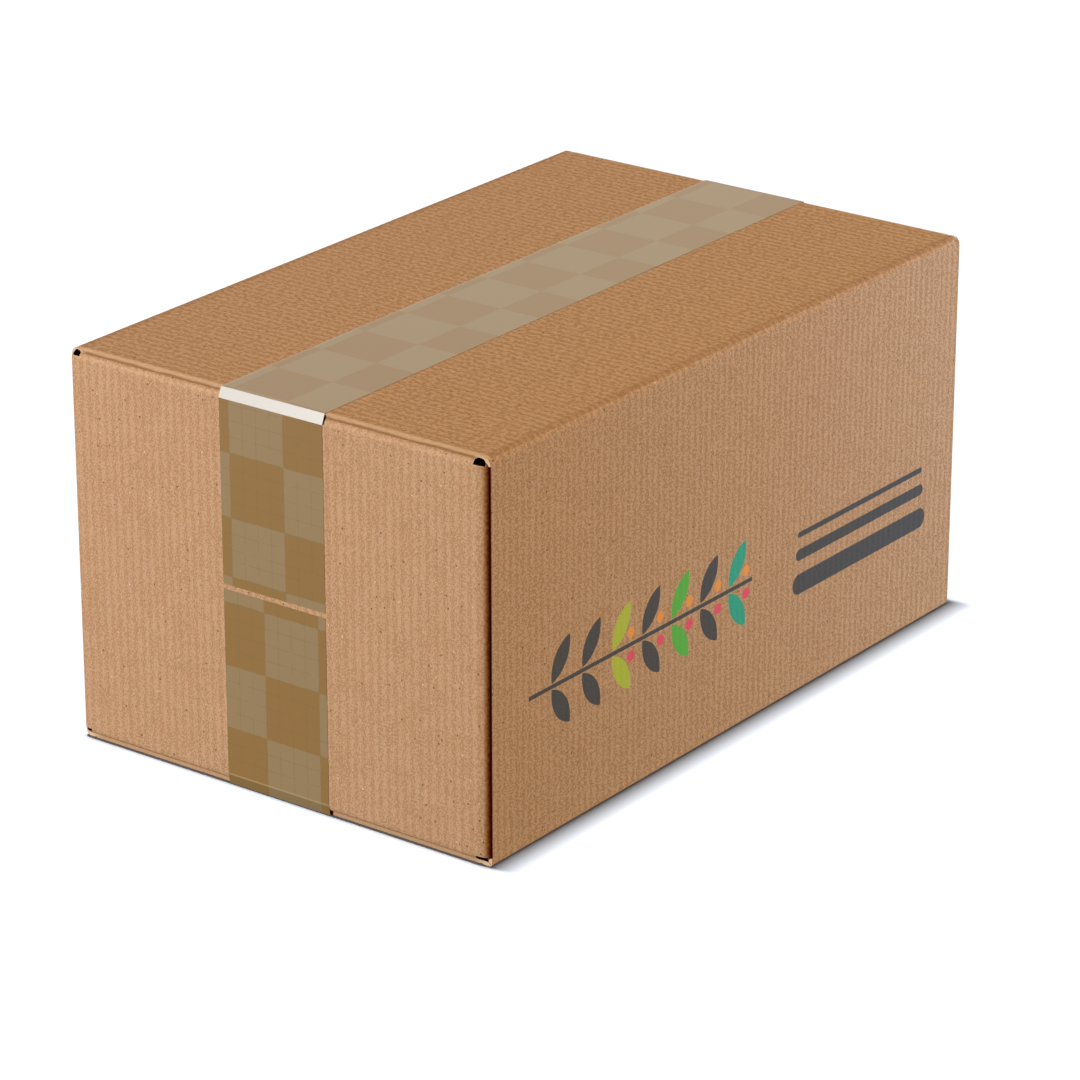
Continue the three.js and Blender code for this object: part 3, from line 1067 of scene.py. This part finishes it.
def lay_tape(name, node, tape, board, upper):
    """A strip of tape along the top or the underside, and over both end panels."""
    low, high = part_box(node)
    level = board.height + tape.lift if upper else 0
    leg_end = low.z if upper else high.z
    down = -1 if upper else 1
    bridge = tape.bridge if upper else tape.low_bridge
    corner = board.span / 2 + (0 if upper else tape.slack)
    face = board.span / 2 + END_PROUD + tape.lift
    columns, rows = TAPE_GRID
    bpy.ops.mesh.primitive_grid_add(
        x_subdivisions=columns, y_subdivisions=rows, size=1, location=(0, (low.y + high.y) / 2, level)
    )
    strip = place_primitive(name, (2 * corner, high.y - low.y, 1))
    edit(strip)
    for side in (-1, 1):
        pick(strip, "EDGE", lambda edge: all(near(point.x, side * corner) for point in ends(edge)))
        bpy.ops.mesh.extrude_edges_move(
            TRANSFORM_OT_translate={"value": (side * (face - corner), 0, down * bridge)}
        )
        leg = abs(leg_end - level) - bridge
        bpy.ops.mesh.extrude_edges_move(TRANSFORM_OT_translate={"value": (0, 0, down * leg)})
    # The legs' long edges, and not those that span the bridge
    pick(strip, "EDGE", lambda edge: abs(ends(edge)[0].z - ends(edge)[1].z) > 2 * bridge)
    bpy.ops.mesh.subdivide(number_cuts=LEG_CUTS)
    if not upper:
        bpy.ops.mesh.select_all(action="SELECT")
        bpy.ops.mesh.flip_normals()
    leave_edit()
    apply_modifier(strip, "SOLIDIFY", thickness=tape.thickness, offset=-1, use_even_offset=True)
    return strip


def lay_floor(stage):
    """A floor that takes no part in the light on the carton's walls."""
    bpy.ops.mesh.primitive_plane_add(size=FLOOR_SIZE, location=(0, 0, -FLOOR_DROP))
    floor = place_primitive("studio_floor", (1, 1, 1))
    # Matt paint: no gloss, so that only light and shadow show on it
    surface = {"Base Color": stage.floor, "Roughness": 0.9, "Specular IOR Level": 0}
    floor.data.materials.append(start_material("matt_paint", surface)[0])
    floor.visible_diffuse = False
    floor.visible_glossy = False
    return floor


def add_to_scene(scene, name, data):
    item = bpy.data.objects.new(name, data)
    scene.collection.objects.link(item)
    return item


def aim(item, heading):
    item.rotation_mode = "QUATERNION"
    item.rotation_quaternion = heading.to_track_quat("-Z", "Y")


def add_light(scene, name, place, heading, watts, tint, receivers):
    """An area light that shines on a collection of receivers only, and that the camera doesn't see."""
    light = add_to_scene(scene, name, bpy.data.lights.new(name, "AREA"))
    light.data.energy = watts
    light.data.color = tint
    light.location = place
    light.visible_camera = False
    light.light_linking.receiver_collection = receivers
    aim(light, heading)
    return light.data


def light_studio(scene, stage, floor):
    """Softboxes for the carton, and a light for the floor that leaves a close, soft shadow."""
    world = bpy.data.worlds.new("studio")
    world.use_nodes = True
    background = world.node_tree.nodes["Background"].inputs
    background["Color"].default_value = stage.ambient_tint
    background["Strength"].default_value = stage.ambient
    scene.world = world
    subject = bpy.data.collections.new("subject")
    for piece in scene.objects:
        if piece.type == "MESH" and piece != floor:
            subject.objects.link(piece)
    ground = bpy.data.collections.new("ground")
    ground.objects.link(floor)
    middle = (CARTON_LOW + CARTON_HIGH) / 2
    for name, (place, side, watts, tint) in SOFTBOXES.items():
        softbox = add_light(scene, name, place, middle - Vector(place), watts, linear(tint), subject)
        softbox.size = side
    place, tint = FLOOR_LIGHT_PLACE, stage.floor_tint[:3]
    watts = stage.floor_light * math.pi * place.length_squared
    floor_light = add_light(scene, "floor_light", place, -place, watts, tint, ground)
    floor_light.shape = "RECTANGLE"
    floor_light.size, floor_light.size_y = FLOOR_LIGHT_SIZE


def place_camera(scene, stage):
    camera = add_to_scene(scene, "camera", bpy.data.cameras.new("camera"))
    camera.data.lens = stage.lens
    camera.data.sensor_width = SENSOR_WIDTH
    flat = math.cos(stage.elevation)
    heading = Vector(
        (math.sin(stage.azimuth) * flat, math.cos(stage.azimuth) * flat, -math.sin(stage.elevation))
    )
    camera.location = CAMERA_AIM - heading * stage.distance
    aim(camera, heading)
    scene.camera = camera


class CARTON_OT_fold_sleeve(bpy.types.Operator):
    """Folds the side panels and the long flaps"""

    bl_idname = "carton.fold_sleeve"
    bl_label = "Fold the sleeve"
    bl_options = {"REGISTER", "UNDO"}

    def execute(self, context):
        board = context.scene.carton_board
        sleeve = fold_sleeve(board)
        ornament = print_sides(board, context.scene.carton_print)
        side = kraft_board("kraft_side", board, X_AXIS, SIDE_PAPER, ornament)
        flap = kraft_board("kraft_flap", board, X_AXIS, FLAP_PAPER, paint_edge_light_and_shade(board))
        cut = cut_board(board)
        inside = painted_shade_board(board)
        materials = [side, flap, cut, inside]
        finish_piece(sleeve, "carton", materials)
        for face in sleeve.data.polygons:
            if on_outside(board, face.center) and abs(face.normal.x) < FACING:
                material = flap if abs(face.normal.z) > abs(face.normal.y) else side
            elif near(abs(face.center.x), board.span / 2) and not on_joint_lip(board, face.center):
                material = cut
            else:
                material = inside
            face.material_index = materials.index(material)
        return {"FINISHED"}


class CARTON_OT_close_ends(bpy.types.Operator):
    """Closes both ends with their panels"""

    bl_idname = "carton.close_ends"
    bl_label = "Close the ends"
    bl_options = {"REGISTER", "UNDO"}

    def execute(self, context):
        board = context.scene.carton_board
        paper = kraft_board("kraft_end", board, Y_AXIS, END_PAPER, dress_end(board))
        # A copy of the end paper without gloss, so that the painted shade at the glued joint stays dark
        shaded = kraft_board("kraft_glue_and_painted_shade", board, Y_AXIS, END_PAPER, dress_end(board), gloss=0)
        inside = painted_shade_board(board)
        materials = [paper, shaded, inside]
        for name, glued in (("carton_end_plain", False), ("carton_end_joint", True)):
            panel = bend_end_panel(name, board, glued)
            finish_piece(panel, "carton", materials)
            for face in panel.data.polygons:
                at_joint = glued and face.center.y < JOINT_SHADE_REACH - board.width / 2
                material = shaded if at_joint else paper
                if in_slot(board, glued, face.center):
                    material = inside
                face.material_index = materials.index(material)
            if not glued:
                turn_about(panel)
        return {"FINISHED"}


class CARTON_OT_stick_tapes(bpy.types.Operator):
    """Sticks a strip of tape along the top and one along the underside"""

    bl_idname = "carton.stick_tapes"
    bl_label = "Stick the tapes"
    bl_options = {"REGISTER", "UNDO"}

    def execute(self, context):
        board = context.scene.carton_board
        tape = context.scene.carton_tape
        for node, upper in (("tape_top", True), ("tape_bottom", False)):
            strip = lay_tape(f"{node}_film", node, tape, board, upper)
            film = packing_tape(f"polypropylene_{node}", tape, board, upper)
            finish_piece(strip, node, [film], TAPE_CREASE)
        return {"FINISHED"}


class CARTON_OT_set_stage(bpy.types.Operator):
    """Sets the floor, the lights and the camera"""

    bl_idname = "carton.set_stage"
    bl_label = "Set the stage"
    bl_options = {"REGISTER", "UNDO"}

    def execute(self, context):
        scene = context.scene
        stage = scene.carton_stage
        light_studio(scene, stage, lay_floor(stage))
        scene.view_settings.view_transform = "Standard"
        place_camera(scene, stage)
        return {"FINISHED"}


class CARTON_PT_sidebar(bpy.types.Panel):
    """Lists the carton's operators and settings"""

    bl_idname = "CARTON_PT_sidebar"
    bl_label = "Taped carton"
    bl_space_type = "VIEW_3D"
    bl_region_type = "UI"
    bl_category = "Carton"

    def draw(self, context):
        for operator in OPERATORS:
            self.layout.operator(operator.bl_idname)
        for name, group in SETTINGS.items():
            box = self.layout.box()
            for setting in group.__annotations__:
                box.prop(getattr(context.scene, name), setting)


SETTINGS = {
    "carton_board": CartonBoardSettings,
    "carton_tape": CartonTapeSettings,
    "carton_print": CartonPrintSettings,
    "carton_stage": CartonStageSettings,
}
OPERATORS = (CARTON_OT_fold_sleeve, CARTON_OT_close_ends, CARTON_OT_stick_tapes, CARTON_OT_set_stage)


def register():
    for group in (*SETTINGS.values(), *OPERATORS, CARTON_PT_sidebar):
        bpy.utils.register_class(group)
    for name, group in SETTINGS.items():
        setattr(bpy.types.Scene, name, PointerProperty(type=group))


def unregister():
    for name in SETTINGS:
        delattr(bpy.types.Scene, name)
    for group in reversed((*SETTINGS.values(), *OPERATORS, CARTON_PT_sidebar)):
        bpy.utils.unregister_class(group)


def main():
    register()
    bpy.ops.carton.fold_sleeve()
    bpy.ops.carton.close_ends()
    bpy.ops.carton.stick_tapes()
    bpy.ops.carton.set_stage()


if __name__ == "__main__":
    main()
